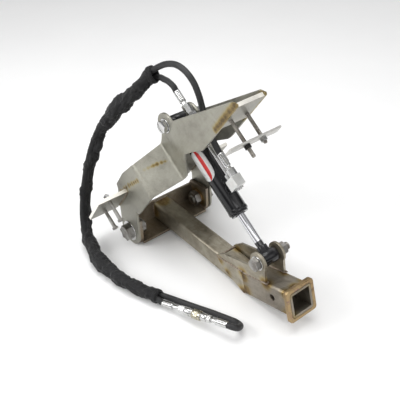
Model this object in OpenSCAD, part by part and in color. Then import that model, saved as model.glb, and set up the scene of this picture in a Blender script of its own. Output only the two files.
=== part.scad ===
// Hydraulic receiver hitch: welded mounting bracket, swinging receiver arm,
// double-acting cylinder, sleeved twin hoses with a quick coupler.
// Millimetres. X runs from the pivot towards the receiver mouth, Y to the left, Z up.

/* [Receiver] */
// Clear opening of the square receiver socket
receiver_opening = 50.8; // [50.5:0.1:51.5]
// Wall of the receiver tube
receiver_wall = 6.35; // [5:0.05:8]
// Length of the receiver tube
receiver_length = 165; // [140:1:200]
// Hitch pin hole diameter
pin_hole_d = 15.88; // [15.5:0.01:16.7]
// Width over the reinforcing collar
collar_width = 82; // [76:1:90]

/* [Arm] */
// Arm tube width
arm_width = 50.8; // [50:0.1:51]
// Arm tube wall
arm_wall = 6.35; // [4:0.05:8]
// Slope of the arm down from the pivot, degrees
arm_droop = 2.355; // [0:0.005:4]

/* [Bracket] */
// Side plate thickness
plate_t = 6.35; // [5:0.05:8]
// Half of the gap between the side plates at the pivot
pivot_half_gap = 116.65; // [116.65:0.01:117]
// Half of the gap between the side plates at the cylinder
base_half_gap = 34.65; // [34.65:0.01:35]
// Span of each side wing
wing_span = 85; // [70:1:95]

/* [Pins] */
// Pivot bolt diameter
pivot_bolt_d = 25.4; // [24:0.1:25.4]
// Cylinder pin diameter
cylinder_pin_d = 19.05; // [18:0.05:19.05]
// Clamp and wing bolt diameter
clamp_bolt_d = 9.525; // [9:0.025:9.525]

/* [Cylinder] */
// Barrel outside diameter
barrel_d = 47; // [45:0.5:48]
// Barrel bore
bore_d = 38.1; // [38.1:0.1:38.1]
// Rod diameter
rod_d = 19.05; // [19.05:0.05:19.05]

/* [Hoses] */
// Hose outside diameter
hose_d = 14.5; // [13:0.1:15]
// Sleeve outside radius
sleeve_r = 17.8; // [17.4:0.1:18]

/* [Hidden] */
$fn = 64;

// pivot axis above the floor, which the pivot ears and the arm's elbow rest on
pivot_x = -229.6;
pivot_z = 40;
// slope of the bracket's mounting plane above the arm
mount_angle = 54;
mount_n = 12;
// cylinder pin, along and above the mounting plane's direction
base_u = 309;
base_n = 126;
base_x = base_u * cos(mount_angle) - base_n * sin(mount_angle);
base_z = base_u * sin(mount_angle) + base_n * cos(mount_angle);
// rod pin and receiver mouth, along and above the arm
clevis_x = 394;
clevis_z = 105;
mouth_x = 505.5;
mouth_z = 51.5;
receiver_rise = 15.5;
receiver_w = receiver_opening + 2 * receiver_wall;
// cylinder, pin to pin
pin_s = norm([clevis_x - base_x, base_z - clevis_z]);
cylinder_slope = atan2(base_z - clevis_z, clevis_x - base_x);
cross_tube_r = 17.5;
seal_r = rod_d / 2 + 3.3;
spigot_r = 7.5;
clamp_bolt_y = [-22, 22];

steel = [0.66, 0.65, 0.62];
dark_steel = [0.42, 0.38, 0.33];
zinc = [0.8, 0.8, 0.82];
black = [0.08, 0.08, 0.09];
rubber = [0.16, 0.16, 0.17];
gold = [0.72, 0.55, 0.35];

// ---------------------------------------------------------------- frames

module place_arm() {
    translate([pivot_x, 0, pivot_z]) rotate([0, arm_droop, 0]) children();
}

module place_chassis() {
    place_arm() rotate([0, -mount_angle, 0]) children();
}

module place_receiver() {
    place_arm() receiver_frame() children();
}

module receiver_frame() {
    translate([mouth_x, 0, mouth_z]) rotate([0, -receiver_rise, 0]) children();
}

module place_cylinder() {
    place_arm() translate([base_x, 0, base_z]) rotate([0, cylinder_slope, 0]) children();
}

module place_clevis() {
    place_arm() translate([clevis_x, 0, clevis_z]) children();
}

module place_coupler() {
    translate([pivot_x + 255.6, -203.8, 13]) rotate([0, -7.26, 17.5]) children();
}

module both_sides() {
    children();
    mirror([0, 1, 0]) children();
}

// ---------------------------------------------------------------- shapes

module prism_y(y0, y1) {
    translate([0, y1, 0]) rotate([90, 0, 0]) linear_extrude(y1 - y0) children();
}

module rod_y(r, y0, y1) {
    translate([0, y1, 0]) rotate([90, 0, 0]) cylinder(r = r, h = y1 - y0);
}

module ring_y(ro, ri, y0, y1) {
    difference() {
        rod_y(ro, y0, y1);
        rod_y(ri, y0 - 1, y1 + 1);
    }
}

module hex_y(af, y0, y1) {
    translate([0, y1, 0]) rotate([90, 0, 0]) cylinder(d = af / cos(30), h = y1 - y0, $fn = 6);
}

module rod_x(r, s0, s1, b = 0) {
    translate([s0, 0, b]) rotate([0, 90, 0]) cylinder(r = r, h = s1 - s0);
}

module ring_x(ro, ri, s0, s1, b = 0) {
    difference() {
        rod_x(ro, s0, s1, b);
        rod_x(ri, s0 - 1, s1 + 1, b);
    }
}

module hex_x(af, s0, s1, b = 0) {
    translate([s0, 0, b]) rotate([0, 90, 0]) cylinder(d = af / cos(30), h = s1 - s0, $fn = 6);
}

module hex_z(af, z0, z1) {
    translate([0, 0, z0]) cylinder(d = af / cos(30), h = z1 - z0, $fn = 6);
}

module rounded_square(w, r) {
    square([w - 2 * r, w], center = true);
    square([w, w - 2 * r], center = true);
    for (x = [-1, 1], y = [-1, 1])
        translate([x * (w / 2 - r), y * (w / 2 - r)]) circle(r = r);
}

module square_tube(w, wall, x0, x1, r) {
    translate([x0, 0, 0]) rotate([90, 0, 90]) linear_extrude(x1 - x0) difference() {
        rounded_square(w, r);
        square(w - 2 * wall, center = true);
    }
}

// ---------------------------------------------------------------- bracket

function arc(cx, cy, r, a0, a1, n = 8) =
    [for (i = [0:n]) [cx + r * cos(a0 + (a1 - a0) * i / n), cy + r * sin(a0 + (a1 - a0) * i / n)]];

bend_u1 = 211;
bend_u2 = 244;
bend_r = 12;
pivot_mid = pivot_half_gap + plate_t / 2;
base_mid = base_half_gap + plate_t / 2;
bend = atan((pivot_mid - base_mid) / (bend_u2 - bend_u1));
bend_t = bend_r * tan(bend / 2);
half_t = plate_t / 2;
c1 = [bend_u1 - bend_t, pivot_mid - bend_r];
c2 = [bend_u2 + bend_t, base_mid + bend_r];

// plan of the left plate: joggled inwards from the pivot to the cylinder
plate_band = concat(
    [[-100, pivot_mid + half_t]],
    arc(c1[0], c1[1], bend_r + half_t, 90, 90 - bend),
    arc(c2[0], c2[1], bend_r - half_t, 270 - bend, 270),
    [[640, base_mid + half_t], [640, base_mid - half_t]],
    arc(c2[0], c2[1], bend_r + half_t, 270, 270 - bend),
    arc(c1[0], c1[1], bend_r - half_t, 90 - bend, 90),
    [[-100, pivot_mid - half_t]]);

module plate_profile() {
    difference() {
        union() {
            polygon([[100, 7], [203, 6], [262, 6], [276, 10], [300, 38], [311, 43],
                [347, 31], [385, 14], [400, mount_n], [579, mount_n], [583, 17], [571, 31],
                [563, 34], [345, 118], [300, 135], [278, 126], [262, 118], [246, 111],
                [214, 100], [176, 106], [142, 112], [78, 111], [69, 98], [80, 40]]);
            translate([base_u, base_n]) circle(r = 31);
            rotate(-mount_angle) translate([-40, 0]) square([80, 115]);
            circle(r = 40);
        }
        circle(d = pivot_bolt_d + 0.2);
        translate([base_u, base_n]) circle(d = cylinder_pin_d + 0.2);
    }
}

module side_plate() {
    place_chassis() intersection() {
        prism_y(20, 140) plate_profile();
        translate([0, 0, -120]) linear_extrude(360) polygon(plate_band);
    }
}

module side_plate_left() {
    color(steel) side_plate();
}

module side_plate_right() {
    color(steel) mirror([0, 1, 0]) side_plate();
}

module front_cross_plate() {
    color(steel) place_chassis() difference() {
        translate([490, -base_half_gap, mount_n]) cube([90, 2 * base_half_gap, 9.5]);
        for (y = clamp_bolt_y)
            translate([514, y, 0]) cylinder(d = clamp_bolt_d + 0.2, h = 40);
    }
}

module rear_cross_plate() {
    g = pivot_half_gap;
    color(steel) place_chassis() translate([0, 0, 70]) linear_extrude(9.5)
        polygon([[10, -g], [200, -g], [228, -48], [228, 48], [200, g], [10, g]]);
}

module wing() {
    y0 = pivot_half_gap + plate_t;
    place_chassis() difference() {
        translate([8, y0, 70]) cube([107, wing_span, 9.5]);
        for (u = [36, 94])
            translate([u, 171, 60]) cylinder(d = clamp_bolt_d + 0.2, h = 30);
    }
}

module wing_left() {
    color(steel) wing();
}

module wing_right() {
    color(steel) mirror([0, 1, 0]) wing();
}

module clamp_bolts() {
    color(zinc) place_chassis() {
        translate([514, clamp_bolt_y[0], -78]) cylinder(d = clamp_bolt_d, h = 113);
        translate([514, clamp_bolt_y[1], -62]) cylinder(d = clamp_bolt_d, h = 97);
    }
}

module clamp_top_nuts() {
    color(zinc) place_chassis() for (y = clamp_bolt_y) translate([514, y, 0]) difference() {
        union() {
            translate([0, 0, 21.5]) cylinder(r = 10.3, h = 2);
            hex_z(14.3, 23.5, 31.8);
        }
        cylinder(d = clamp_bolt_d + 0.2, h = 50);
    }
}

module wing_bolts() {
    color(zinc) place_chassis() both_sides() for (u = [36, 94]) translate([u, 171, 0]) {
        hex_z(14.3, 13.8, 20);
        translate([0, 0, 19.9]) cylinder(d = clamp_bolt_d, h = 73.1);
    }
}

module wing_nuts() {
    color(zinc) place_chassis() both_sides() for (u = [36, 94]) translate([u, 171, 0]) difference() {
        union() {
            translate([0, 0, 79.5]) cylinder(r = 10.3, h = 2);
            hex_z(14.3, 81.5, 89.8);
        }
        cylinder(d = clamp_bolt_d + 0.2, h = 100);
    }
}

module base_pin_bolt() {
    color(zinc) place_cylinder() {
        hex_y(28.6, -55.5, -43.5);
        rod_y(cylinder_pin_d / 2, -43.6, 63);
    }
}

module base_pin_nut() {
    color(zinc) place_cylinder() difference() {
        hex_y(28.6, 43.5, 59.5);
        rod_y(cylinder_pin_d / 2 + 0.1, 40, 70);
    }
}

module base_pin_washers() {
    color(zinc) place_cylinder() both_sides()
        ring_y(18, cylinder_pin_d / 2 + 0.1, base_half_gap + plate_t, 43.5);
}

module base_spacers() {
    color(zinc) place_cylinder() both_sides()
        ring_y(15, cylinder_pin_d / 2 + 0.1, 30.3, base_half_gap);
}

module pivot_bolts() {
    color(zinc) place_arm() both_sides() {
        hex_y(38, 125.5, 141);
        rod_y(pivot_bolt_d / 2, 80, 125.6);
    }
}

module pivot_nuts() {
    color(zinc) place_arm() both_sides() difference() {
        hex_y(38, 85, 102.7);
        rod_y(pivot_bolt_d / 2 + 0.1, 80, 110);
    }
}

module pivot_washers() {
    color(zinc) place_arm() both_sides()
        ring_y(28.5, pivot_bolt_d / 2 + 0.1, pivot_half_gap + plate_t, 125.5);
}

module thrust_washers() {
    color(zinc) place_arm() both_sides()
        ring_y(28, pivot_bolt_d / 2 + 0.1, 115.05, pivot_half_gap);
}

// ---------------------------------------------------------------- hoses

loop_side = [0.17, -0.87, 0.47];

// centre line of the sleeve, measured from the pivot axis at floor level
sleeve_path = [[30, -14, 463], [1, -40, 430], [-34, -62, 389], [-70, -85, 350],
    [-98, -108, 304], [-110, -130, 258], [-113, -150, 212], [-112, -170, 160],
    [-106, -188, 110], [-92, -204, 62], [-62, -218, 30], [-12, -232, 20], [40, -240, 20],
    [92, -240, 20], [142, -231, 20], [192, -218, 20], [240, -202, 20]];

hose_a_top = [from_cylinder(-47.4, 56), [73, -1, 447], [52, -3, 452]];
hose_a_end = [[250.9, -205.3, 12.35]];
hose_b_top = [from_cylinder(133.4, 66), [224, 0, 350], [208, -1, 376], [197, -2, 403], [189, -3, 431],
    [180, -4, 459], [166, -5, 483], [143, -6, 500], [113, -7, 507], [80, -9, 501],
    [50, -12, 487]];
hose_b_end = [[275, -168.5, 9], [317.5, -150.6, 9], [356.1, -133.9, 9], [396.4, -118.4, 9],
    [413.5, -113.3, 10], [430.7, -116.2, 16], [441, -125, 24.5], [445.5, -136.5, 32],
    [439.8, -145.3, 37], [428.1, -149.4, 36.05]];

function unit(v) = v / norm(v);
function from_arm(x, z) = [x * cos(arm_droop) + z * sin(arm_droop), 0,
    pivot_z - x * sin(arm_droop) + z * cos(arm_droop)];
function from_cylinder(s, b) = from_arm(
    base_x + s * cos(cylinder_slope) + b * sin(cylinder_slope),
    base_z - s * sin(cylinder_slope) + b * cos(cylinder_slope));
function along(p, i) = unit(p[min(i + 1, len(p) - 1)] - p[max(i - 1, 0)]);
function twist(i) = i < 11 ? 0 : (i - 10) * 34.7;
function beside(i, d) =
    let(t = along(sleeve_path, i), w = unit(loop_side))
    sleeve_path[i] + d * (cos(twist(i)) * w + sin(twist(i)) * cross(t, w));
function strand(d) = [for (i = [0:len(sleeve_path) - 1]) beside(i, d)];
function side_at(z) =
    let(k = min(1, max(0, (z - 40) / 120)))
    unit(k * loop_side + (1 - k) * [0.05, -0.1, 1]);
function ring(p, i, r, n) =
    let(t = along(p, i), a = unit(cross(t, side_at(p[i][2]))), b = cross(a, t))
    [for (k = [0:n - 1]) p[i] + r * (cos(360 * k / n) * a + sin(360 * k / n) * b)];
function rings(p, r, n) = [for (i = [0:len(p) - 1]) each ring(p, i, r, n)];

module sweep(p, r, n) {
    m = len(p);
    sides = [for (i = [0:m - 2], k = [0:n - 1]) each [
        [i * n + k, i * n + (k + 1) % n, (i + 1) * n + (k + 1) % n],
        [i * n + k, (i + 1) * n + (k + 1) % n, (i + 1) * n + k]]];
    start = [for (k = [n - 1:-1:0]) k];
    end = [for (k = [0:n - 1]) (m - 1) * n + k];
    translate([pivot_x, 0, 0])
        polyhedron(points = rings(p, r, n), faces = concat([start, end], sides));
}

module sweep_tube(p, ro, ri, n) {
    m = len(p);
    q = m * n;
    outer = [for (i = [0:m - 2], k = [0:n - 1]) each [
        [i * n + k, i * n + (k + 1) % n, (i + 1) * n + (k + 1) % n],
        [i * n + k, (i + 1) * n + (k + 1) % n, (i + 1) * n + k]]];
    inner = [for (f = outer) [q + f[2], q + f[1], q + f[0]]];
    start = [for (k = [0:n - 1]) each [
        [k, q + k, q + (k + 1) % n], [k, q + (k + 1) % n, (k + 1) % n]]];
    e = (m - 1) * n;
    end = [for (k = [0:n - 1]) each [
        [e + k, q + e + (k + 1) % n, q + e + k], [e + k, e + (k + 1) % n, q + e + (k + 1) % n]]];
    translate([pivot_x, 0, 0])
        polyhedron(points = concat(rings(p, ro, n), rings(p, ri, n)),
            faces = concat(outer, inner, start, end));
}

module hose_a() {
    color(rubber) sweep(concat(hose_a_top, strand(-8), hose_a_end), hose_d / 2, 10);
}

module hose_b() {
    color(rubber) sweep(concat(hose_b_top, strand(8), hose_b_end), hose_d / 2, 10);
}

module hose_sleeve() {
    color(black) sweep_tube(sleeve_path, sleeve_r, sleeve_r - 1.4, 14);
}

module sleeve_tie(p, q) {
    d = unit(q - p);
    sweep_tube([p + 3 * d, p + 15 * d], sleeve_r + 2, sleeve_r + 0.1, 14);
}

module sleeve_ties() {
    n = len(sleeve_path);
    color(black) {
        sleeve_tie(sleeve_path[0], sleeve_path[1]);
        sleeve_tie(sleeve_path[n - 1], sleeve_path[n - 2]);
    }
}

module end_ferrules() {
    color(zinc) place_coupler() {
        rod_x(7.8, 0, 30);
        rod_x(5, 29.9, 50);
        rod_x(5, 138, 152.1);
        rod_x(8.2, 152, 182);
    }
}

module coupler_socket() {
    color(zinc) place_coupler() difference() {
        union() {
            hex_x(16, 50, 66);
            rod_x(10, 66, 80);
            rod_x(8.7, 79.9, 112);
        }
        rod_x(6.1, 96, 113);
    }
}

module coupler_plug() {
    color(zinc) place_coupler() {
        rod_x(6, 97, 114.1);
        rod_x(9.5, 114, 128);
        hex_x(16, 127.9, 138);
    }
}

module coupler_collar() {
    color(gold) place_coupler() ring_x(11.5, 8.75, 88, 111);
}

// ---------------------------------------------------------------- arm

module cross_channel() {
    color(dark_steel) place_arm() prism_y(-105.5, 105.5)
        polygon([[-40, 28], [-40, -33.4], [35, -33.4], [35, -25.4], [-32, -25.4], [-32, 28]]);
}

module channel_ears() {
    color(dark_steel) place_arm() both_sides() prism_y(105.5, 115) difference() {
        polygon([[-40, 28], [-34, 40], [36, 45], [36, -10], [31, -27], [24, -33.4], [-40, -33.4]]);
        circle(r = 16.1);
    }
}

module pivot_bushes() {
    color(gold) place_arm() both_sides() difference() {
        union() {
            rod_y(16, 103, 115);
            rod_y(21, 103, 105.4);
        }
        rod_y(pivot_bolt_d / 2 + 0.05, 100, 120);
    }
}

module arm_tube() {
    color(dark_steel) place_arm() difference() {
        square_tube(arm_width, arm_wall, -32, 380, 6);
        receiver_frame() translate([-receiver_length, -100, -150]) cube([400, 200, 300]);
    }
}

module receiver_tube() {
    color(dark_steel) place_receiver() difference() {
        square_tube(receiver_w, receiver_wall, -receiver_length, 0, 7);
        translate([-64, 0, 0]) rod_y(pin_hole_d / 2, -60, 60);
    }
}

module receiver_collar() {
    color(gold) place_receiver() rotate([90, 0, 90]) translate([0, 0, -12]) linear_extrude(12)
        difference() {
            rounded_square(collar_width, 9);
            rounded_square(receiver_w + 0.1, 6.9);
        }
}

module receiver_block() {
    receiver_frame() translate([-receiver_length, -60, -receiver_w / 2])
        cube([receiver_length, 120, receiver_w]);
}

module fish_plates() {
    color(dark_steel) place_arm() both_sides() difference() {
        prism_y(arm_width / 2, arm_width / 2 + 6.35)
            polygon([[246, 27], [344, 42.6], [349, 36], [353, -23], [350, -24.5],
                [310, -12], [284, -2], [262, 12]]);
        receiver_block();
    }
}

module clevis_plate() {
    place_arm() difference() {
        prism_y(arm_width / 2, arm_width / 2 + 6.35) difference() {
            union() {
                polygon([[246, 27], [273, 50], [362, 76], [371, 96], [417, 96],
                    [426, 30], [349, 35], [344, 42.6]]);
                translate([clevis_x, clevis_z]) circle(r = 25);
            }
            translate([clevis_x, clevis_z]) circle(d = cylinder_pin_d + 0.2);
        }
        receiver_block();
    }
}

module clevis_plate_left() {
    color(dark_steel) clevis_plate();
}

module clevis_plate_right() {
    color(dark_steel) mirror([0, 1, 0]) clevis_plate();
}

module clevis_pin() {
    color(zinc) place_clevis() {
        hex_y(28.6, -46.3, -34.3);
        rod_y(cylinder_pin_d / 2, -34.4, 62);
    }
}

module clevis_nut() {
    color(zinc) place_clevis() difference() {
        hex_y(28.6, 34.3, 50.3);
        rod_y(cylinder_pin_d / 2 + 0.1, 30, 60);
    }
}

module clevis_washers() {
    color(zinc) place_clevis() both_sides() ring_y(18, cylinder_pin_d / 2 + 0.1, 31.75, 34.3);
}

// ---------------------------------------------------------------- cylinder

module barrel_tube() {
    color(black) place_cylinder() difference() {
        rod_x(barrel_d / 2, 13, 262);
        rod_x(bore_d / 2, 0, 270);
        rod_y(cross_tube_r + 0.1, -40, 40);
    }
}

module base_cap() {
    color(black) place_cylinder() difference() {
        rod_x(bore_d / 2 - 0.1, 10, 34);
        rod_y(cross_tube_r + 0.1, -40, 40);
    }
}

module base_cross_tube() {
    color(black) place_cylinder() ring_y(cross_tube_r, cylinder_pin_d / 2 + 0.05, -30, 30);
}

module gland() {
    color(black) place_cylinder() difference() {
        union() {
            rod_x(bore_d / 2 - 0.1, 236, 262);
            rod_x(barrel_d / 2 - 2, 262, 267);
        }
        rod_x(rod_d / 2 + 0.05, 230, 280);
        rod_x(seal_r + 0.1, 262, 280);
        rod_x(seal_r + 0.1, 244, 250);
    }
}

module wiper_seal() {
    color(rubber) place_cylinder() ring_x(seal_r, rod_d / 2 + 0.05, 262.1, 268);
}

module rod_seal() {
    color(rubber) place_cylinder() ring_x(seal_r, rod_d / 2 + 0.05, 244.2, 249.8);
}

module port_bosses() {
    color(black) place_cylinder() difference() {
        union() {
            translate([26, 0, 0]) cylinder(r = 9.5, h = 34);
            translate([208, 0, 0]) cylinder(r = 9.5, h = 38);
        }
        rod_x(barrel_d / 2, 0, 300);
    }
}

module base_tee() {
    color(zinc) place_cylinder() {
        translate([26, 0, 34]) cylinder(r = 8, h = 8);
        translate([16, -10, 41.9]) cube([20, 20, 22]);
    }
}

module swivel_nuts() {
    color(zinc) place_cylinder() {
        hex_x(18, -8, 16, 56);
        hex_x(18, 176, 194, 66);
    }
}

module top_ferrules() {
    color(zinc) place_cylinder() {
        rod_x(6, -16, -8, 56);
        rod_x(8.2, -46, -15.9, 56);
        rod_x(6, 169, 176, 66);
        rod_x(8.2, 135, 169.1, 66);
    }
}

module valve_block() {
    color(zinc) place_cylinder() translate([194, -12, 38]) cube([27, 24, 36]);
}

module valve_cartridge() {
    color(zinc) place_cylinder() {
        hex_x(17, 221, 225, 57);
        rod_x(5, 224.9, 227, 57);
    }
}

module pilot_tube() {
    color(zinc) place_cylinder() rod_x(4, 37, 193, 46);
}

module pilot_tube_nuts() {
    color(zinc) place_cylinder() for (s = [36, 180]) difference() {
        hex_x(14, s, s + 14, 46);
        rod_x(4.1, s - 1, s + 15, 46);
    }
}

module piston_rod() {
    color(zinc) place_cylinder() {
        rod_x(spigot_r, 121, 163.1);
        rod_x(rod_d / 2, 163, pin_s - 15);
    }
}

module rod_eye() {
    color(black) place_cylinder() difference() {
        union() {
            rod_x(13, pin_s - 28.5, pin_s);
            translate([pin_s, 0, 0]) rod_y(18, -20, 20);
        }
        translate([pin_s, 0, 0]) rod_y(13, -30, 30);
        rod_x(rod_d / 2 + 0.1, 330, pin_s - 14.9);
    }
}

module piston() {
    color(zinc) place_cylinder() difference() {
        ring_x(bore_d / 2 - 0.08, spigot_r + 0.1, 137, 163);
        ring_x(30, 15.9, 147, 153);
    }
}

module piston_seal() {
    color(rubber) place_cylinder() ring_x(bore_d / 2 - 0.04, 16, 147.2, 152.8);
}

module piston_nut() {
    color(zinc) place_cylinder() difference() {
        hex_x(24, 123, 136.9);
        rod_x(spigot_r + 0.1, 120, 140);
    }
}

// ---------------------------------------------------------------- clamp

module clamp_bar() {
    color(zinc) place_chassis() difference() {
        translate([501.5, -70, -48]) cube([25, 140, 5]);
        for (y = clamp_bolt_y)
            translate([514, y, -60]) cylinder(r = 5.4, h = 30);
    }
}

module clamp_nuts() {
    color(zinc) place_chassis() for (y = clamp_bolt_y) translate([514, y, 0]) difference() {
        hex_z(14.3, -57, -48);
        translate([0, 0, -70]) cylinder(d = clamp_bolt_d + 0.1, h = 40);
    }
}

// ---------------------------------------------------------------- drawing

side_plate_left();
side_plate_right();
front_cross_plate();
rear_cross_plate();
wing_left();
wing_right();
clamp_bolts();
clamp_top_nuts();
wing_bolts();
wing_nuts();
base_pin_bolt();
base_pin_nut();
base_pin_washers();
base_spacers();
pivot_bolts();
pivot_nuts();
pivot_washers();
thrust_washers();
hose_a();
hose_b();
hose_sleeve();
sleeve_ties();
end_ferrules();
coupler_socket();
coupler_plug();
coupler_collar();
cross_channel();
channel_ears();
pivot_bushes();
arm_tube();
receiver_tube();
receiver_collar();
fish_plates();
clevis_plate_left();
clevis_plate_right();
clevis_pin();
clevis_nut();
clevis_washers();
barrel_tube();
base_cap();
base_cross_tube();
gland();
wiper_seal();
rod_seal();
port_bosses();
base_tee();
swivel_nuts();
top_ferrules();
valve_block();
valve_cartridge();
pilot_tube();
pilot_tube_nuts();
piston_rod();
rod_eye();
piston();
piston_seal();
piston_nut();
clamp_bar();
clamp_nuts();
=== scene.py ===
"""Looks of the hydraulic receiver hitch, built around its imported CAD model. Metres throughout."""

import math

import bpy
from mathutils import Matrix, Quaternion, Vector, noise


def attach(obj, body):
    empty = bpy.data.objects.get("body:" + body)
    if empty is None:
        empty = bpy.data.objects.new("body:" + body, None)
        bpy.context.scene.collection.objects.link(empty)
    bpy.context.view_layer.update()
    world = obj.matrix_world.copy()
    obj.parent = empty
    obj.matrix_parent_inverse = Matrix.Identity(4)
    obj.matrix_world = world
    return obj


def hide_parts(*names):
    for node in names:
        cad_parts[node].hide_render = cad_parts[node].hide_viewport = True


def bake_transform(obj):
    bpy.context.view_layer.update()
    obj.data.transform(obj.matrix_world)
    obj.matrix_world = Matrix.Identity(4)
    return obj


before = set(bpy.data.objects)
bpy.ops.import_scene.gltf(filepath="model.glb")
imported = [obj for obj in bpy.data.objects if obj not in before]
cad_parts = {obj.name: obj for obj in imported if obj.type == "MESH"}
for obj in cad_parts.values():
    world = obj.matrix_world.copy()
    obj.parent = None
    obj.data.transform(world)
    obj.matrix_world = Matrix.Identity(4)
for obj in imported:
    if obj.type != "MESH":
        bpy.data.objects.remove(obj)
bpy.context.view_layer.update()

# ---------------------------------------------------------------- frames of the part

PIVOT = Vector((-0.2296, 0, 0.040))
ARM_DROOP = math.radians(2.355)
MOUNT_ANGLE = math.radians(54)
RECEIVER_RISE = math.radians(15.5)
BASE_PIN = Vector((0.07969, 0, 0.32405))
ROD_PIN = Vector((0.394, 0, 0.105))
MOUTH = Vector((0.5055, 0, 0.0515))
COUPLER_START = PIVOT + Vector((0.2556, -0.2038, -0.027))
COUPLER_YAW = math.radians(17.5)
COUPLER_PITCH = math.radians(7.26)

ALONG_CYLINDER = ROD_PIN - BASE_PIN
CYLINDER_SLOPE = math.atan2(-ALONG_CYLINDER.z, ALONG_CYLINDER.x)
BARREL_RADIUS = 0.0235


def turn_y(angle):
    return Matrix.Rotation(angle, 4, "Y")


ARM = Matrix.Translation(PIVOT) @ turn_y(ARM_DROOP)
CHASSIS = ARM @ turn_y(-MOUNT_ANGLE)
RECEIVER = ARM @ Matrix.Translation(MOUTH) @ turn_y(-RECEIVER_RISE)
CYLINDER = ARM @ Matrix.Translation(BASE_PIN) @ turn_y(CYLINDER_SLOPE)
COUPLER = (Matrix.Translation(COUPLER_START) @ Matrix.Rotation(COUPLER_YAW, 4, "Z")
           @ turn_y(-COUPLER_PITCH))

# ---------------------------------------------------------------- camera

CAMERA_PLACE = Vector((0.9758, -0.768, 1.0838))
CAMERA_LOOKS = Vector((-0.6587, 0.4806, -0.5789))
CAMERA_ROLL = math.radians(-4.0)
CAMERA_LENS = 57.84


def make_camera():
    data = bpy.data.cameras.new("camera")
    data.lens = CAMERA_LENS
    data.sensor_width = 36
    camera = bpy.data.objects.new("camera", data)
    camera.location = CAMERA_PLACE
    camera.rotation_mode = "QUATERNION"
    level = CAMERA_LOOKS.to_track_quat("-Z", "Y")
    camera.rotation_quaternion = level @ Quaternion((0, 0, 1), CAMERA_ROLL)
    bpy.context.collection.objects.link(camera)
    bpy.context.scene.camera = camera


make_camera()

# ---------------------------------------------------------------- node materials


class Graph:
    """Short names for making and joining shader nodes in one node tree."""

    def __init__(self, tree):
        self.tree = tree

    def put(self, socket, value):
        """Links a node's output, or sets a constant, on any input socket."""
        if isinstance(value, bpy.types.NodeSocket):
            self.tree.links.new(value, socket)
        elif isinstance(value, (tuple, list)) and len(value) == 3 and socket.type == "RGBA":
            socket.default_value = (*value, 1)
        else:
            socket.default_value = value

    def node(self, kind, inputs=(), **settings):
        made = self.tree.nodes.new(kind)
        for key, value in settings.items():
            setattr(made, key, value)
        for key, value in dict(inputs).items():
            self.put(made.inputs[key], value)
        return made

    def coords(self, turn=0.0, stretch=(1, 1, 1), uv=False):
        """Part coordinates turned about Y into a sloping frame, then scaled."""
        source = self.node("ShaderNodeTexCoord").outputs["UV" if uv else "Object"]
        if turn:
            source = self.node("ShaderNodeMapping", {0: source, 2: (0, turn, 0)}).outputs[0]
        return self.node("ShaderNodeMapping", {0: source, 3: stretch}).outputs[0]

    def noise(self, coords, scale, detail=3.0, rough=0.55, distortion=0.0):
        return self.node("ShaderNodeTexNoise", {"Vector": coords, "Scale": scale, "Detail": detail,
                         "Roughness": rough, "Distortion": distortion}).outputs[0]

    def ramp(self, fac, stops):
        made = self.node("ShaderNodeValToRGB", {0: fac})
        band = made.color_ramp
        while len(band.elements) < len(stops):
            band.elements.new(0.5)
        for element, (place, colour) in zip(band.elements, stops):
            element.position = place
            element.color = (*colour, 1)
        return made.outputs[0]

    def mix(self, fac, a, b, how="MIX"):
        made = self.node("ShaderNodeMix", data_type="RGBA", blend_type=how)
        for index, value in ((0, fac), (6, a), (7, b)):
            self.put(made.inputs[index], value)
        return made.outputs[2]

    def calc(self, how, a, b=0.0):
        return self.node("ShaderNodeMath", {0: a, 1: b}, operation=how).outputs[0]

    def span(self, value, low, high, to_low=0.0, to_high=1.0):
        return self.node("ShaderNodeMapRange", {0: value, 1: low, 2: high, 3: to_low, 4: to_high},
                         interpolation_type="SMOOTHSTEP").outputs[0]

    def axis(self, coords, index):
        """One axis of a vector: 0 is X, 1 is Y and 2 is Z."""
        return self.node("ShaderNodeSeparateXYZ", {0: coords}).outputs[index]

    def near(self, coords, place, reach, flat=(1, 1, 1)):
        """1 at a place, falling to 0 at reach; flat drops an axis, so the place becomes a line."""
        here = self.node("ShaderNodeVectorMath", {0: coords, 1: flat}, operation="MULTIPLY")
        there = tuple(p * f for p, f in zip(place, flat))
        gap = self.node("ShaderNodeVectorMath", {0: here.outputs[0], 1: there},
                        operation="DISTANCE").outputs[1]
        return self.span(gap, 0.0, reach, 1.0, 0.0)

    def most(self, values):
        total = values[0]
        for value in values[1:]:
            total = self.calc("MAXIMUM", total, value)
        return total


class Finish(Graph):
    """A procedural material, built from the coordinates of the whole part at rest."""

    def __init__(self, name, **sockets):
        self.material = bpy.data.materials.new(name)
        self.material.use_nodes = True
        super().__init__(self.material.node_tree)
        self.tree.nodes.clear()
        out = self.tree.nodes.new("ShaderNodeOutputMaterial")
        self.shader = self.tree.nodes.new("ShaderNodeBsdfPrincipled")
        self.tree.links.new(self.shader.outputs[0], out.inputs[0])
        self.set(**sockets)

    def bump(self, height, strength, depth):
        made = self.node("ShaderNodeBump", {"Height": height, "Strength": strength, "Distance": depth})
        self.put(self.shader.inputs["Normal"], made.outputs[0])

    def set(self, **sockets):
        for key, value in sockets.items():
            self.put(self.shader.inputs[key.replace("_", " ")], value)
        return self.material


# heat tint from none to strong: straw, gold, bronze, then dark brown
HEAT_BANDS = [(0.0, (1, 1, 1)), (0.30, (1.0, 0.93, 0.72)), (0.52, (0.90, 0.73, 0.38)),
              (0.76, (0.68, 0.50, 0.24)), (1.0, (0.34, 0.25, 0.15))]


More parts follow.
